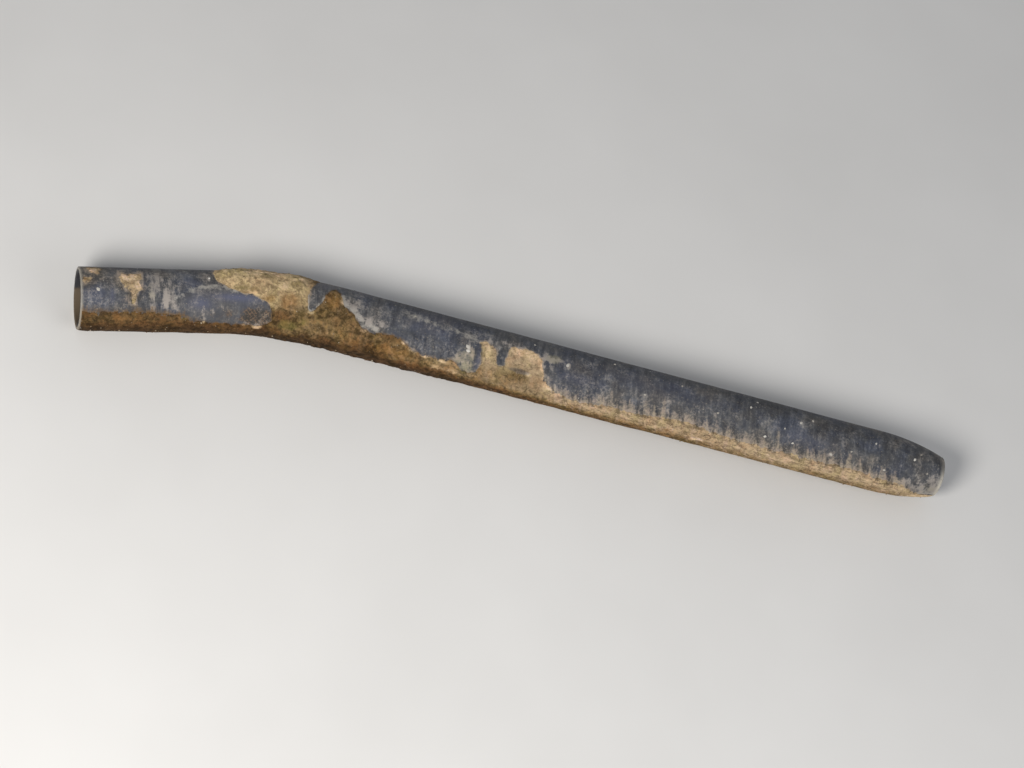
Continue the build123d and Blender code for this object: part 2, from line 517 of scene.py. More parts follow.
def lineDistance(mm, degrees, line):              # metres to a line on the unrolled pipe
    arc = math.radians(outerRadius)
    corners = np.array(line, float) * (0.001, arc)
    x, y = mm * 0.001, degrees * arc
    nearest = np.full(x.shape, np.inf)
    for (ax, ay), (bx, by) in zip(corners, corners[1:]):
        dx, dy = bx - ax, by - ay
        t = np.clip(((x - ax) * dx + (y - ay) * dy) / (dx ** 2 + dy ** 2), 0, 1)
        nearest = np.minimum(nearest, np.hypot(x - ax - t * dx, y - ay - t * dy))
    return nearest


def inside(mm, degrees, outline):                 # metres inside an outline, below 0 outside it
    within = np.zeros(mm.shape, bool)
    for (ax, ay), (bx, by) in zip(outline, outline[1:] + outline[:1]):
        if ay != by:
            crossing = ax + (degrees - ay) * (bx - ax) / (by - ay)
            within ^= ((ay > degrees) != (by > degrees)) & (mm < crossing)
    return np.where(within, 1, -1) * lineDistance(mm, degrees, outline + outline[:1])


def runsFrom(along, points):                      # the same value all the way down a run of silt
    return along + points[..., 2] * byPlace("lean", along * 1000)


def marked(name, mm, degrees):                    # how strongly a kind of mark shows, 0 where it doesn't
    shown = np.zeros(mm.shape)
    for place, turn, length, height, strength in marks[name]:
        away = ((mm - place) / length) ** 2 + ((degrees - turn) / height) ** 2
        shown = np.maximum(shown, strength * np.exp(-away))
    return shown


def marksAndRuns(along, points, kinds, mm, degrees):      # what the wall and the mud both store
    shown = {kind: marked(kind, mm, degrees) for kind in kinds}
    return {"runAt": runsFrom(along, points), "fringe": byPlace("fringe", mm) / 1000, **shown}


def mudCover(along, points, mm, degrees):         # metres inside the mud's edge, below 0 where it is clean
    sizes = crustSizes
    cover = inside(mm, degrees + 360, mudOutlines["bandAndClod"])
    for outline in mudOutlines.values():
        cover = np.maximum(cover, inside(mm, degrees, outline))
    drawnOut = np.stack([runsFrom(along, points), *points[:, 1:].T * sizes["dripDraw"]], 1)
    drips = fractal(drawnOut, sizes["dripSize"], 3, 3.0) * byPlace("drips", mm)
    cover = cover + drips * 0.001
    cover = cover + fractal(points, sizes["raggedSize"], 4, 11.0) * byPlace("ragged", mm) * 0.001
    room = np.minimum(along - sizes["clearOfEnd"], pipeLength - sizes["clearOfMouth"] - along)
    return np.minimum(cover, room)


def crustHeight(points, mm, degrees, cover):      # thickness of the mud, its clod weight, and its dampness with painted shade in it
    sizes, places = crustSizes, mudPlaces
    wander = fractal(points, 0.05, 3, 5.0) * places["clodWander"]
    lower = np.maximum(fading("belowClod", degrees + wander), fading("behindClod", wander - degrees))
    clod = fading("clod", mm) * (1 - lower)
    lumps = fading("lumps", mm) * lower
    damp = byPlace("dampnessAndShade", mm) * (1 - clod)
    dryPatch = (mm < places["dryEnd"]) & (abs(degrees - places["dryMiddle"]) < places["dryReach"])
    damp = np.where(dryPatch, places["dryDamp"], damp)
    dryTop = (mm > places["dryTopFrom"]) & (mm < places["dryTopTo"])
    damp = np.where(dryTop, damp * fading("dryTop", degrees), damp)
    # the underside's dampness is also painted shade along the mud's lower side
    damp = damp + byPlace("undersideDampAndShade", mm) * fading("undersideDampAndShade", np.abs(degrees)) * (1 - clod)
    thickness = sizes["film"] * (1 + 0.5 * fractal(points, 0.05, 3, 2.0))
    thickness = thickness + sizes["clod"] * clod * eased(cover, 0.0, 0.026)
    lowLump = 0.5 * fading("lowLump", mm) * (mm < places["lowLumpEnd"])
    thickness = thickness + sizes["lump"] * np.maximum(lumps, lowLump)
    relief = fractal(points, 0.024, 5, 23.0) * 0.55 + fractal(points, 0.0055, 3, 29.0) * 0.14
    full = 1 - np.exp(-np.maximum(cover, 0) / sizes["edge"])
    height = np.where(cover > 0, thickness * full * (1 + relief * (1 + 0.5 * lumps)), cover * 0.5)
    return np.maximum(height, -sizes["dip"]), clod, damp


def placed(name, data):
    piece = bpy.data.objects.new(name, data)
    bpy.context.scene.collection.objects.link(piece)
    return piece


def meshFrom(name, vertices, quads, material):    # vertices are (along, turn, radius)
    corners = vertices[quads]
    pastSeam = corners[..., 1] < corners[..., 1].max(1, keepdims=True) - math.pi
    acrossWall = (corners[..., 1] + pastSeam * 2 * math.pi) * outerRadius
    unrolled = np.stack([corners[..., 0], acrossWall], 2)
    mesh = bpy.data.meshes.new(name)
    mesh.vertices.add(len(vertices))
    mesh.vertices.foreach_set("co", vertices.astype(np.float32).ravel())
    mesh.loops.add(quads.size)
    mesh.loops.foreach_set("vertex_index", quads.ravel().astype(np.int32))
    mesh.polygons.add(len(quads))
    mesh.polygons.foreach_set("loop_start", np.arange(0, quads.size, 4, dtype=np.int32))
    mesh.polygons.foreach_set("use_smooth", np.ones(len(quads), bool))
    mesh.update(calc_edges=True)
    mesh.uv_layers.new(name="unrolled").data.foreach_set("uv", unrolled.astype(np.float32).ravel())
    mesh.materials.append(material)
    return placed(name, mesh)


def store(piece, **values):
    for name, value in values.items():
        attribute = piece.data.attributes.new(name, "FLOAT", "POINT")
        attribute.data.foreach_set("value", np.asarray(value, np.float32).ravel())


def geometryTree(name, sockets):
    tree = bpy.data.node_groups.new(name, "GeometryNodeTree")
    for socketName, kind in {"Geometry": "Geometry", **sockets, "Material": "Material"}.items():
        tree.interface.new_socket(name=socketName, in_out="INPUT", socket_type="NodeSocket" + kind)
    tree.interface.new_socket(name="Geometry", in_out="OUTPUT", socket_type="NodeSocketGeometry")
    maker = Maker(tree)
    return tree, maker, maker.add("NodeGroupInput")


def closeTree(maker, geometry, ports):
    real = maker.add("GeometryNodeRealizeInstances", {}, {"Geometry": geometry})
    inputs = {"Geometry": real, "Material": ports.part("Material")}
    maker.add("NodeGroupOutput", {}, {"Geometry": maker.add("GeometryNodeSetMaterial", {}, inputs)})


def grow(piece, tree, values):                    # runs a tree on a piece and keeps the plain mesh
    modifier = piece.modifiers.new(tree.name, "NODES")
    modifier.node_group = tree
    for item in tree.interface.items_tree:
        if item.in_out == "INPUT" and item.name in values:
            modifier[item.identifier] = values[item.name]
    seen = bpy.context.evaluated_depsgraph_get()
    made = bpy.data.meshes.new_from_object(
        piece.evaluated_get(seen), preserve_all_data_layers=True, depsgraph=seen)
    piece.modifiers.clear()
    old, piece.data = piece.data, made
    bpy.data.meshes.remove(old)
    made.name = piece.name
    return piece


def centreCurve():
    points, _ = centreLine(np.linspace(0, pipeLength, pipeSizes["centreSteps"]))
    line = bpy.data.curves.new("centreLine", "CURVE")
    line.dimensions = "3D"
    spline = line.splines.new("POLY")
    spline.points.add(len(points) - 1)
    spline.points.foreach_set("co", np.hstack([points, np.ones((len(points), 1))]).ravel())
    return placed("centreLine", line)


def wrapTree():                                   # wraps a mesh of (along, turn, radius) round a line
    sockets = {"Centre line": "Object", "Waviness": "Float", "Wave length": "Float",
               "Wave radius": "Float", "Rest height": "Float"}
    tree, maker, ports = geometryTree("wrapOnCentreLine", sockets)
    along = maker.axes(maker.add("GeometryNodeInputPosition"))
    turn, radius = along.part("Y"), along.part("Z")
    line = maker.add("GeometryNodeObjectInfo", {}, {"Object": ports.part("Centre line")}).part("Geometry")
    sample = maker.add("GeometryNodeSampleCurve", {"mode": "LENGTH"}, {"Curves": line, "Length": along})
    centre, tangent = sample.part("Position"), sample.part("Tangent")
    side = maker.vector("NORMALIZE", maker.vector("CROSS_PRODUCT", tangent, (0.0, 0.0, 1.0)))
    upward = maker.joined(0.0, 0.0, maker.maths("COSINE", turn))
    radial = maker.vector("ADD", upward, maker.scaled(side, maker.maths("SINE", turn)))
    skin = maker.vector("ADD", centre, maker.scaled(radial, ports.part("Wave radius")))
    wave = maker.noise(skin, 1 / ports.part("Wave length"), 2.0) - 0.5
    reach = radius + wave * ports.part("Waviness") * 2
    place = maker.axes(maker.vector("ADD", centre, maker.scaled(radial, reach)))
    lifted = maker.maths("MAXIMUM", place.part("Z"), ports.part("Rest height"))
    place = maker.joined(place, place.part("Y"), lifted)
    moved = maker.add("GeometryNodeSetPosition", {}, {"Geometry": ports, "Position": place})
    closeTree(maker, moved, ports)
    return tree


def wrapped(piece, material, restHeight):
    return grow(piece, trees["wrap"], {
        "Centre line": lineCurve, "Waviness": pipeSizes["waviness"], "Wave length": pipeSizes["waveLength"],
        "Wave radius": outerRadius, "Rest height": restHeight, "Material": material})


def spread(alongs, columns):                      # rows of points round the pipe, with what finds them
    turns = np.arange(columns) / columns * 2 * math.pi - math.pi
    along, turn = np.repeat(alongs, columns), np.tile(turns, len(alongs))
    return along, turn, onPipe(along, turn, outerRadius), along * 1000, np.degrees(turn)


def gridQuads(i, j, rows, columns):               # the corners of a cell of such rows
    nextI, nextJ = (i + 1) % rows, (j + 1) % columns
    return np.stack([i * columns + j, nextI * columns + j, nextI * columns + nextJ, i * columns + nextJ], 1)


def makePipe(material):
    outline = wallOutline()
    rows, columns = len(outline), pipeSizes["around"]
    along, turn, points, mm, degrees = spread(outline[:, 0], columns)
    radius = np.repeat(outline[:, 1], columns)
    i, j = np.indices((rows, columns)).reshape(2, -1)
    vertices = np.stack([along, turn, radius], 1)
    piece = meshFrom("pipe_wall", vertices, gridQuads(i, j, rows, columns), material)
    films = {name: inside(mm, degrees, film) for name, film in filmOutlines.items()}
    tides = [strength * (1 - np.clip(lineDistance(mm, degrees, line) * 1000 / width, 0, 1))
             for width, strength, line in tideLines]
    wornLip = (1 - fading("wornLip", pipeLength * 1000 - mm)) * (0.3 + 0.7 * fading("wornSide", degrees))
    rim = np.maximum(wornLip, 0.5 - 0.5 * fading("wornEnd", mm))
    # A washed wall's tone, with painted shade towards the top, crown and back
    washed = byPlace("washed", mm) * (1 - fading("washedSide", degrees))
    washed = washed + byPlace("crownShade", mm) * (1 - fading("crownSide", degrees))
    cover = mudCover(along, points, mm, degrees)
    _, _, damp = crustHeight(points, mm, degrees, cover)
    store(piece, cover=cover, damp=damp, tide=np.max(tides, 0), rim=rim,
          washed=washed * fading("backSide", degrees),
          outside=radius > outerRadiusAt(along) - wall * 0.45,
          **marksAndRuns(along, points, clayMarks, mm, degrees), **films)
    return wrapped(piece, material, pipeSizes["restHeight"])


def joinDiagonals(kept):                          # fills cells that would touch the rest at a corner only
    while True:
        right = np.roll(kept, -1, 1)
        down = np.vstack([kept[1:], np.zeros_like(kept[:1])])
        both = np.roll(down, -1, 1)
        pinched = (kept & both & ~right & ~down) | (right & down & ~kept & ~both)
        if not pinched.any():
            return kept
        kept = kept | pinched | np.roll(pinched, 1, 1)


def makeCrust(name, material):
    part, sizes = crusts[name], crustSizes
    start, end, margin = part["from"], part["to"], sizes["meshMargin"]
    rows = round((min(end, pipeLength) - max(start, 0)) / part["step"])
    columns = round(2 * math.pi * outerRadius / part["step"])
    alongs = np.linspace(max(start, margin), min(end, pipeLength - margin), rows)
    along, turn, points, mm, degrees = spread(alongs, columns)
    cover = mudCover(along, points, mm, degrees)
    wander = fractal(points, 0.03, 3, 19.0) * 0.003       # so that two crusts don't meet in a straight line
    here = np.minimum(cover, np.minimum(along - start, end - along) + wander)
    height, clod, damp = crustHeight(points, mm, degrees, here)
    high = (height > -sizes["dip"] * 0.99).reshape(rows, columns)
    high = high | np.roll(high, -1, 1)
    kept = joinDiagonals(high[:-1] | high[1:])
    i, j = np.nonzero(kept)
    count = rows * columns
    top = gridQuads(i, j, rows, columns)
    quads = [top, top[:, ::-1] + count]
    padded = np.pad(kept, ((1, 1), (0, 0)))
    for di, dj, first, second in ((-1, 0, 0, 3), (1, 0, 2, 1), (0, -1, 1, 0), (0, 1, 3, 2)):
        bare = ~padded[i + 1 + di, (j + dj) % columns]    # closes the crust where it has no neighbour
        a, b = top[bare, first], top[bare, second]
        quads.append(np.stack([a, b, b + count, a + count], 1))
    quads = np.vstack(quads)
    outside = outerRadiusAt(along)
    radius = np.concatenate([outside + height, outside - sizes["root"]])
    vertices = np.stack([np.tile(along, 2), np.tile(turn, 2), radius], 1)
    used, quadsUsed = np.unique(quads, return_inverse=True)
    piece = meshFrom(name, vertices[used], quadsUsed.reshape(quads.shape), material)
    values = {"damp": damp, "cover": cover, "clod": clod,
              **marksAndRuns(along, points, marks, mm, degrees)}
    store(piece, outside=used < count, **{key: np.tile(value, 2)[used] for key, value in values.items()})
    return wrapped(piece, material, sizes["restHeight"])


# Grit, by the names of its tree's inputs
gritSizes = {
    "onMud": {
        "Density": 1800.0, "Smallest": 0.0006, "Largest": 0.0020, "Sunk": 0.35, "Seed": 4,
        "Least cover": 0.002, "Most cover": 1.0, "Lowest": 0.012,
    },
    "onClay": {
        "Density": 260.0, "Smallest": 0.0004, "Largest": 0.0011, "Sunk": 0.3, "Seed": 9,
        "Least cover": -1.0, "Most cover": -0.006, "Lowest": 0.012,
    },
    "flecks": {"Thickness": 0.0011},
    "fullTurn": 6.28,
}


def stoneShape(maker, subdivisions):              # an uneven little stone, a metre in radius
    stone = maker.add("GeometryNodeMeshIcoSphere", {}, {"Radius": 1.0, "Subdivisions": subdivisions})
    place = maker.add("GeometryNodeInputPosition")
    dents = maker.add("ShaderNodeTexNoise", {}, {"Vector": place, "Scale": 0.9, "Detail": 1.0})
    bumped = maker.scaled(maker.add("GeometryNodeInputNormal"), (dents - 0.5) * 1.1)
    return maker.add("GeometryNodeSetPosition", {}, {"Geometry": stone, "Offset": bumped})


def finished(maker, ports, stones):               # gives each stone a tone of its own and ends the tree
    inputs = {"Geometry": stones, "Name": "tone", "Value": maker.chance(0.0, 1.0, 5)}
    settings = {"data_type": "FLOAT", "domain": "INSTANCE"}
    closeTree(maker, maker.add("GeometryNodeStoreNamedAttribute", settings, inputs), ports)


def fleckTree():                                  # a flat crumb at each point, as wide as the point says
    tree, maker, ports = geometryTree("setFlecks", {"Thickness": "Float"})
    points = maker.add("GeometryNodeMeshToPoints", {}, {"Mesh": ports})
    width, outward = maker.stored("width"), maker.stored("outward", "FLOAT_VECTOR")
    spin = maker.chance((0.0, 0.0, 0.0), (0.0, 0.0, gritSizes["fullTurn"]), 12)
    inputs = {"Rotation": spin, "Vector": outward}
    facing = maker.add("FunctionNodeAlignRotationToVector", {"axis": "Z"}, inputs)
    size = maker.joined(width * 0.56, width * 0.36, ports.part("Thickness"))
    finished(maker, ports, maker.add("GeometryNodeInstanceOnPoints", {}, {
        "Points": points, "Instance": stoneShape(maker, 2), "Rotation": facing, "Scale": size}))
    return tree


def makeFlecks(material):
    at, turn, width = np.array(flecks).T * np.array([[0.001], [math.pi / 180], [0.001]])
    radius = outerRadiusAt(at)
    places = onPipe(at, turn, radius)
    mesh = bpy.data.meshes.new("flecks")
    mesh.from_pydata(places.tolist(), [], [])
    outward = mesh.attributes.new("outward", "FLOAT_VECTOR", "POINT")
    outward.data.foreach_set("vector", (onPipe(at, turn, radius + 1) - places).ravel())
    piece = placed("flecks", mesh)
    store(piece, width=width)
    return grow(piece, trees["fleck"], {**gritSizes["flecks"], "Material": material})


def gritTree():                                   # scatters small stones on the upper faces of a piece
    sockets = {name: "Int" if name == "Seed" else "Float" for name in gritSizes["onMud"]}
    tree, maker, ports = geometryTree("scatterGrit", sockets)
    height = maker.axes(maker.add("GeometryNodeInputPosition")).part("Z")
    cover = maker.stored("cover")
    allowed = maker.maths("GREATER_THAN", height, ports.part("Lowest"))
    allowed = allowed * maker.maths("GREATER_THAN", cover, ports.part("Least cover"))
    allowed = allowed * maker.maths("LESS_THAN", cover, ports.part("Most cover"))
    allowed = allowed * maker.maths("GREATER_THAN", maker.stored("outside"), 0.99)
    points = maker.add("GeometryNodeDistributePointsOnFaces", {}, {
        "Mesh": ports, "Selection": allowed, "Density": ports.part("Density"), "Seed": ports.part("Seed")})
    spin = maker.chance((0.0, 0.0, 0.0), (gritSizes["fullTurn"],) * 3, ports.part("Seed"))
    odds, smallest = maker.chance(0.0, 1.0, 77), ports.part("Smallest")
    size = odds * odds * odds * (ports.part("Largest") - smallest) + smallest       # most stones are small
    scale = maker.scaled(maker.chance((0.7, 0.7, 0.5), (1.3, 1.1, 0.8), 31), size)
    stones = maker.add("GeometryNodeInstanceOnPoints", {}, {
        "Points": points, "Instance": stoneShape(maker, 1), "Rotation": spin, "Scale": scale})
    sink = maker.scaled(points.part("Normal"), size * ports.part("Sunk") * -1)
    finished(maker, ports, maker.add("GeometryNodeTranslateInstances", {}, {
        "Instances": stones, "Translation": sink, "Local Space": False}))
    return tree


def makeGrit(name, bed, kind, material):
    piece = placed(name, bed.data.copy())
    return grow(piece, trees["grit"], {**gritSizes[kind], "Material": material})


def newMaterial(name, colours, gloss, matt=0.0):
    material = bpy.data.materials.new(name)
    material.use_nodes = True
    material.node_tree.nodes.clear()
    maker = Maker(material.node_tree, colours)
    constants = {"Specular IOR Level": gloss, "Diffuse Roughness": matt}
    shader = maker.add("ShaderNodeBsdfPrincipled", {}, constants)
    maker.add("ShaderNodeOutputMaterial", {}, {"Surface": shader})
    return material, maker, shader


def feed(maker, shader, **inputs):
    for name, value in inputs.items():
        maker.tree.links.new(value.socket, shader.socket.node.inputs[name.replace("_", " ")])


clayMarks = ("pale", "lilac", "dark", "moss")
claySizes = {
    "siltLevel": 0.034,            # how high the silt lies in the bore
    "hatching": 760.0,             # more draws the crossed lines closer together
    "bump": 0.0008,
}
slateColours = {
    "dark": (0.026, 0.028, 0.034),
    "middle": (0.067, 0.069, 0.075),
    "light": (0.165, 0.162, 0.158),
    "lilac": (0.090, 0.097, 0.148),
    "smooth": (0.072, 0.072, 0.080),
    "film": (0.320, 0.285, 0.255),
    "ash": (0.265, 0.240, 0.155),
    "dust": (0.330, 0.272, 0.200),
    "soil": (0.125, 0.077, 0.037),
    "gap": (0.040, 0.034, 0.028),
    "stain": (0.125, 0.082, 0.052),
    "rosy": (0.315, 0.250, 0.198),
    "tide": (0.330, 0.310, 0.275),
    "rim": (0.520, 0.480, 0.400),
    "bore": (0.030, 0.030, 0.034),
    "silt": (0.120, 0.088, 0.055),
    "colder": (0.88, 0.94, 1.11),  # and factors that the tones are multiplied by
    "warmer": (1.12, 1.03, 0.92),
}


def firedClay():                                  # dark slate clay with dried films, streaks and dust
    material, maker, shader = newMaterial("fired_slate_clay", slateColours, 0.25)
    place = maker.objectPlace()
    cover, tide, fringe, outside, rim, streaked, ash, smooth, washed, damp = maker.attributes(
        "cover", "tide", "fringe", "outside", "rim", "streaks", "ash", "smooth", "washed", "damp")
    pale, lilac, dark, moss = maker.attributes(*clayMarks)
    crust, gaps, wideRuns, mottle, fine = maker.mudEdge(place, cover, fringe)
    broad = maker.noise(place, 9.0, 4.0, 0.6)
    patch = maker.noise(place, 27.0, 5.0, 0.6, 0.4)
    grain = maker.noise(place, 760.0, 2.0, 0.6)
    runs = maker.runs(place, 95.0, 20.0, 5.0, 0.62)
    thinRuns = maker.runs(place, 260.0, 26.0, 3.0, 0.6)

    tone = broad * 0.6 + patch * 0.8 + mottle * 1.1 + runs * 1.5 + thinRuns * 0.5 + fine * 0.9 + grain * 0.4
    # The dark marks and the washed values darken the slate, partly as painted shade
    tone = tone / 5.8 + pale * 0.03 - dark * 0.035 - washed * 0.022
    bare = maker.ramp(tone, (0.41, "dark"), (0.50, "middle"), (0.60, "light"))
    tint = maker.swing(maker.noise(place, 17.0, 4.0, 0.6), 0.14, "colder", "warmer")

    # The smooth silt's end has crossed lines in it.
    hatched = maker.edged(dark, mottle, 1.2, 0.15, 0.6)
    unrolled = maker.axes(maker.add("ShaderNodeUVMap", {"uv_map": "unrolled"}))
    rising, falling = unrolled + unrolled.part("Y"), unrolled - unrolled.part("Y")
    rising, falling = (maker.maths("SINE", way * claySizes["hatching"]) for way in (rising, falling))
    crossed = maker.maths("MAXIMUM", rising, falling)
    woven = maker.between(fine * 0.3 + mottle * 0.7 + crossed * 0.08 - 0.03, 0.49, 0.57)
    stained = maker.mixed(woven, "gap", "stain")
    smoothTone = maker.mixed(hatched, maker.mixed(lilac, "smooth", "lilac"), stained)
    inSmooth = maker.edged(smooth, mottle, 0.010, -0.002, 0.003) * (0.45 + lilac * 0.35 + hatched * 0.45)

    # Dried films
    streaky = maker.between(runs * 0.6 + fine * 0.2 + mottle * 0.2 + pale * 0.06, 0.46, 0.60)
    streaky = maker.edged(streaked, mottle, 0.040, -0.006, 0.010) * streaky
    inAsh = maker.between(ash + (mottle - 0.5) * 0.045 + (runs - 0.5) * 0.03, -0.007, 0.010)
    ashy = inAsh * maker.between(fine * 0.2 + mottle * 0.5 + runs * 0.3 - dark * 0.1, 0.36, 0.56)
    ashTone = maker.mixed(maker.between(fine * 0.5 + mottle * 0.5, 0.45, 0.56), "ash", "dust")
    blot = maker.between(pale + (mottle - 0.5) * 1.8 + (runs - 0.5) * 1.3 + (fine - 0.5) * 0.8, 0.34, 0.86)
    haze = maker.between(patch, 0.46, 0.66) * maker.between(fine, 0.42, 0.62) * (1 - washed) * 0.25
    ragged = (fine - 0.5) * 0.9 + (mottle - 0.5) * 1.6 + (patch - 0.5) * 0.9
    stood = maker.between(tide * 0.9 + ragged, 0.15, 0.75)

    # Runs of silt and dust above the mud: reach is 1 beside it and 0 at the end of its runs.
    reach = (cover + fringe) / (fringe + 0.001)
    streak = wideRuns * 0.7 + runs * 0.3 + (fine - 0.5) * 0.25 + (mottle - 0.5) * 0.3
    run = maker.between(streak + reach * 0.25, 0.56, 0.79) * (0.6 + maker.between(fine, 0.40, 0.56) * 0.3)
    powder = maker.between(reach, -0.8, 1.0) * maker.between(fine * 0.6 + mottle * 0.4, 0.50, 0.60) * 0.35
    dusty = maker.maths("MAXIMUM", maker.maths("MAXIMUM", run, powder), crust * 0.9)
    dust = maker.mixed(maker.between(mottle, 0.44, 0.58), "dust", "rosy")
    crumbs = maker.between(maker.noise(place, 330.0, 2.0, 0.5), 0.66, 0.72)

    colour = maker.layered(
        bare,
        (1.0, tint, "MULTIPLY"),
        (lilac * 0.55, "lilac"),
        (inSmooth, smoothTone),
        (streaky * 0.65, "film"),
        (ashy * 0.8, ashTone),
        (blot * 0.75, "film"),
        (maker.edged(moss, mottle, 1.2, 0.3, 0.8) * 0.38, "ash"),
        (haze, "film"),
        # painted shade in the gaps between the runs of silt
        (maker.between(reach, 0.0, 1.0) * gaps * 0.6, "gap"),
        (dusty, maker.mixed(maker.between(damp, 0.25, 0.70), dust, "soil")),
        (stood * 0.7, "tide"),
        (crumbs * 0.45, "dust"),
        (rim * maker.between(mottle * 0.6 + fine * 0.4, 0.26, 0.48) * 0.9, "rim"))
    depth = claySizes["siltLevel"] - maker.axes(place).part("Z")
    silt = maker.edged(depth, mottle, 0.02, -0.004, 0.006)
    boreSilt = silt * 0.85 + maker.between(mottle, 0.55, 0.75) * 0.15
    colour = maker.mixed(outside, maker.mixed(boreSilt, "bore", "silt"), colour)
    rough = 0.52 + mottle * 0.20 + maker.maths("MAXIMUM", dusty, streaky) * 0.25
    pits = maker.between(maker.noise(place, 240.0, 2.0, 0.5), 0.64, 0.74)
    relief = grain * 0.3 + fine * 0.4 + mottle * 0.5 + runs * 0.3 - pits * 0.6 + dusty * 0.5
    bump = maker.bump(relief, 0.6, claySizes["bump"])
    feed(maker, shader, Base_Color=colour, Roughness=rough, Normal=bump)
    return material


mudSizes = {
    "grain": (0.4, 1.0, 1.0),      # less draws the fine grain out along that axis
    "cells": 55.0,                 # more makes smaller cells between the cracks
    "bump": 0.0024,
}
mudColours = {
    "dry": (0.385, 0.288, 0.180),
    "tan": (0.275, 0.198, 0.112),
    "olive": (0.165, 0.110, 0.050),
    "damp": (0.088, 0.048, 0.019),
    "deep": (0.046, 0.026, 0.012),
    "cream": (0.590, 0.450, 0.252),
    "shade": (0.310, 0.225, 0.122),
    "rose": (0.450, 0.325, 0.245),
    "pale": (0.630, 0.475, 0.278),
    "chalk": (0.540, 0.430, 0.350),
    "moss": (0.150, 0.128, 0.040),
    "rust": (0.240, 0.132, 0.046),
    "bare": (0.105, 0.088, 0.080),
    "slate": (0.072, 0.071, 0.076),
    "bareLight": (0.300, 0.280, 0.245),
    "crack": (0.070, 0.050, 0.030),
    "greener": (0.97, 1.0, 0.88),  # and factors, as for the slate
    "redder": (1.06, 0.98, 0.97),
    "hollow": (0.54, 0.52, 0.48),
    "lump": (1.46, 1.42, 1.36),
    "darkSpeck": (0.50, 0.48, 0.45),
    "lightSpeck": (1.42, 1.40, 1.36),
}


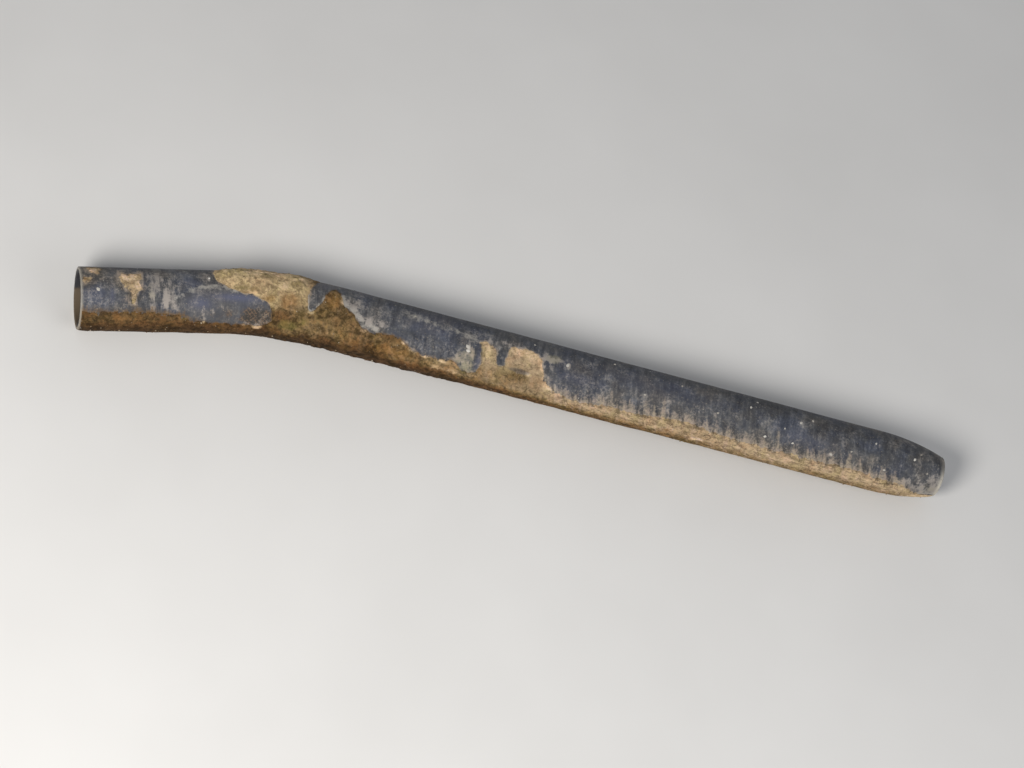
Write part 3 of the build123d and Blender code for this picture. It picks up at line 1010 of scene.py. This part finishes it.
def driedMud():                                   # tan where it dried, brown where it stayed damp, darker brown where shade is painted in
    material, maker, shader = newMaterial("dried_mud", {**slateColours, **mudColours}, 0.12, 0.6)
    place = maker.objectPlace()
    damp, cover, clod, fringe = maker.attributes("damp", "cover", "clod", "fringe")
    pale, lilac, dark, moss, rust = maker.attributes("pale", "lilac", "dark", "moss", "rust")
    crust, gaps, *_ = maker.mudEdge(place, cover, fringe)
    broad = maker.noise(place, 18.0, 5.0, 0.62)
    lump = maker.noise(place, 52.0, 5.0, 0.62, 0.4)
    blotch = maker.noise(place, 110.0, 5.0, 0.66, 0.3)
    crumb = maker.noise(place, 270.0, 4.0, 0.72)
    grain = maker.noise(place, 800.0, 3.0, 0.7)
    runs = maker.runs(place, 90.0, 22.0, 4.0, 0.62)
    strokes = maker.noise(maker.vector("MULTIPLY", place, mudSizes["grain"]), 125.0, 4.0, 0.66)
    farBarrel = maker.between(fringe, 0.010, 0.024)       # 1 where the silt comes down in long runs

    # the dampness and the dark marks carry painted shade as well as wet mud
    wetAndShade = damp + (broad - 0.5) * 0.7 + (lump - 0.5) * 0.7 + (blotch - 0.5) * 0.4 + dark * 0.45 - pale * 0.25
    silt = maker.ramp(wetAndShade * 0.7, (0.02, "dry"), (0.24, "tan"), (0.43, "olive"), (0.69, "damp"),
                      (1.0, "deep"))
    # Painted shade in the hollows and painted light on the lumps of the bumped mud; on the clod, the next
    # line does the same between its shade and cream
    lumps = maker.swing(lump * 0.5 + blotch * 0.5, 0.07, "hollow", "lump")
    lumpy = maker.between(lump * 0.6 + blotch * 0.4 + pale * 0.05, 0.44, 0.57)
    whitened = maker.between(blotch, 0.42, 0.58) * (0.3 + farBarrel)
    paled = maker.between(pale + (lump - 0.5) * (1.2 + clod * 1.6), 0.3, 0.8)
    rosy = maker.between(runs * 0.6 + blotch * 0.4, 0.50, 0.62) * (1 - maker.between(damp, 0.45, 0.9))
    tint = maker.swing(maker.noise(place, 26.0, 5.0, 0.7), 0.14, "greener", "redder")

    # The wall shows through where the mud thins out, and between its runs.
    thinned = (1 - maker.between(cover, 0.0, 0.014)) * gaps * farBarrel
    through = maker.mixed(farBarrel, "slate", maker.mixed(gaps * 0.6, "dust", "gap"))

    # Specks, and cracks round broken cells
    drawn = farBarrel * 0.4
    uneven = crumb * 0.3 + grain * 0.15 + strokes * drawn + blotch * (0.55 - drawn)
    uneven = (uneven - 0.5) * (1 + farBarrel * 0.9) + 0.5
    speckle = maker.swing(uneven, 0.10, "darkSpeck", "lightSpeck")
    wander = maker.scaled(maker.noise(place, 70.0, 3.0).part("Color"), 0.014)
    cells = maker.add("ShaderNodeTexVoronoi", {"feature": "DISTANCE_TO_EDGE"},
                      {"Vector": maker.vector("ADD", place, wander), "Scale": mudSizes["cells"]})
    broken = maker.between(maker.noise(place, 34.0, 3.0, 0.6), 0.50, 0.58)
    cracks = (1 - maker.between(cells, 0.004, 0.026)) * broken * (1 - clod * 0.7) * (1 - pale * 0.8)

    colour = maker.layered(
        silt,
        # painted shade and light on the damp mud's hollows and lumps
        (maker.between(damp, 0.2, 0.6) * 0.9, lumps, "MULTIPLY"),
        (clod * 0.8, maker.mixed(lumpy, "shade", "cream")),
        (paled * 0.85, maker.mixed(whitened, "pale", "chalk")),
        (maker.edged(rust, lump, 1.4, 0.3, 0.9) * 0.7, "rust"),
        (maker.edged(moss, lump, 1.4, 0.3, 0.9) * 0.6, "moss"),
        (maker.edged(lilac, blotch, 1.2, 0.35, 0.8) * 0.75, maker.mixed(pale, "bare", "bareLight")),
        (rosy * (0.15 + farBarrel * 0.30), "rose"),
        (1.0, tint, "MULTIPLY"),
        # painted shade in the gaps between the runs, where the mud thins
        (thinned * 0.45, "gap"),
        ((1 - crust) * 0.9, through),
        (0.8 - clod * 0.3, speckle, "MULTIPLY"),
        (cracks * 0.6, "crack"))
    relief = grain * 0.3 + crumb * 0.9 + blotch * 1.2 + lump * 1.2 - cracks * 1.0 + runs * 0.5
    bump = maker.bump(relief, 0.9, mudSizes["bump"])
    feed(maker, shader, Base_Color=colour, Roughness=0.86 + grain * 0.12, Normal=bump)
    return material


stoneColours = {
    "dark": (0.13, 0.09, 0.05),
    "brown": (0.25, 0.18, 0.11),
    "tan": (0.35, 0.28, 0.19),
    "light": (0.50, 0.44, 0.36),
    "dullSpeck": (0.28, 0.25, 0.21),
    "paleSpeck": (0.58, 0.56, 0.51),
}


def gritStone():
    material, maker, shader = newMaterial("grit_stone", stoneColours, 0.25)
    tone = maker.attribute("tone") + (maker.noise(maker.objectPlace(), 300.0, 3.0) - 0.5) * 0.3
    colour = maker.ramp(tone, (0.0, "dark"), (0.5, "brown"), (0.9, "tan"), (1.0, "light"))
    feed(maker, shader, Base_Color=colour, Roughness=0.75 + tone * 0.15)
    return material


def paleSpeck():
    material, maker, shader = newMaterial("pale_speck", stoneColours, 0.25)
    tone = maker.attribute("tone")
    colour = maker.ramp(tone, (0.0, "dullSpeck"), (1.0, "paleSpeck"))
    feed(maker, shader, Base_Color=colour, Roughness=0.8 + tone * 0.1)
    return material


stageSizes = {
    "floorSize": 40.0,
    "floorHeight": -0.0002,
    "azimuth": -13.4,              # the camera's place round the pipe, in degrees
    "elevation": 55.0,
    "roll": 25.8,                  # the pipe lies across the picture on a slope
    "distance": 5.14,
    "lens": 90.0,
    "sensor": 36.0,
    "aim": (-0.010, 0.008, 0.062),
    "sky": (0.88, 0.92, 1.0),
    "skyStrength": 0.22,
}
floorColours = {"shade": (0.70, 0.69, 0.67), "plain": (0.74, 0.73, 0.71)}
# Place, width, power and colour of each light
lights = {
    "key": ((-1.8, -3.0, 2.8), 1.6, 175, (1.0, 0.975, 0.94)),
    "fill": ((2.8, -2.4, 2.6), 3.5, 55, (0.97, 0.98, 1.0)),
    "back": ((0.2, 3.6, 1.1), 3.0, 20, (1.0, 1.0, 1.0)),
}


def makeFloor():
    material, maker, shader = newMaterial("pale_floor", floorColours, 0.2)
    tone = maker.noise(maker.objectPlace(), 2.0, 3.0)
    colour = maker.ramp(tone, (0.3, "shade"), (0.7, "plain"))
    feed(maker, shader, Base_Color=colour, Roughness=0.85 + tone * 0.05)
    half, level = stageSizes["floorSize"] / 2, stageSizes["floorHeight"]
    mesh = bpy.data.meshes.new("floor")
    corners = [(-half, -half, level), (half, -half, level), (half, half, level), (-half, half, level)]
    mesh.from_pydata(corners, [], [(0, 1, 2, 3)])
    mesh.materials.append(material)
    floor = placed("floor", mesh)


def makeLight(name, place, size, power, colour):  # every light faces the middle of the floor
    light = bpy.data.lights.new(name, "AREA")
    light.shape = "DISK"
    light.size, light.energy, light.color = size, power, colour
    lamp = placed(name, light)
    lamp.location = place
    lamp.rotation_euler = (-Vector(place)).to_track_quat("-Z", "Y").to_euler()


def makeSky():
    world = bpy.data.worlds.new("studio")
    bpy.context.scene.world = world
    world.use_nodes = True
    background = world.node_tree.nodes["Background"]
    background.inputs["Color"].default_value = (*stageSizes["sky"], 1.0)
    background.inputs["Strength"].default_value = stageSizes["skyStrength"]
    bpy.context.scene.view_settings.view_transform = "Standard"


def makeCamera():
    azimuth, elevation, roll = (math.radians(stageSizes[k]) for k in ("azimuth", "elevation", "roll"))
    right = Vector((math.cos(azimuth), math.sin(azimuth), 0))
    level = Vector((math.sin(azimuth), -math.cos(azimuth), 0))
    back = level * math.cos(elevation) + Vector((0, 0, math.sin(elevation)))
    up = back.cross(right)
    across = right * math.cos(roll) + up * math.sin(roll)
    upward = up * math.cos(roll) - right * math.sin(roll)
    data = bpy.data.cameras.new("camera")
    data.lens, data.sensor_width = stageSizes["lens"], stageSizes["sensor"]
    data.clip_start, data.clip_end = 0.1, 60.0
    camera = placed("camera", data)
    turned = Matrix((across, upward, back)).transposed().to_4x4()
    place = Vector(stageSizes["aim"]) + back * stageSizes["distance"]
    camera.matrix_world = Matrix.Translation(place) @ turned
    bpy.context.scene.camera = camera


lineCurve = centreCurve()
trees = {"wrap": wrapTree(), "grit": gritTree(), "fleck": fleckTree()}
clay, mud, stone, speck = firedClay(), driedMud(), gritStone(), paleSpeck()
pipe = makePipe(clay)
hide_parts("pipe")
print("pipe wall made", len(pipe.data.polygons))

beds = []
for crustName in crusts:
    beds.append(makeCrust(crustName, mud))
    print(crustName, "made", len(beds[-1].data.polygons))
bpy.data.objects.remove(lineCurve)
grit = [makeGrit(bed.name.replace("mud", "grit"), bed, "onMud", stone) for bed in beds]
grit += [makeGrit("pale_specks", pipe, "onClay", speck), makeFlecks(speck)]
print("grit made", sum(len(piece.data.polygons) for piece in grit))

for piece in (pipe, *beds, *grit):
    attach(piece, "root")

makeFloor()
for lightName, values in lights.items():
    makeLight(lightName, *values)
makeSky()
makeCamera()
print("stage set")
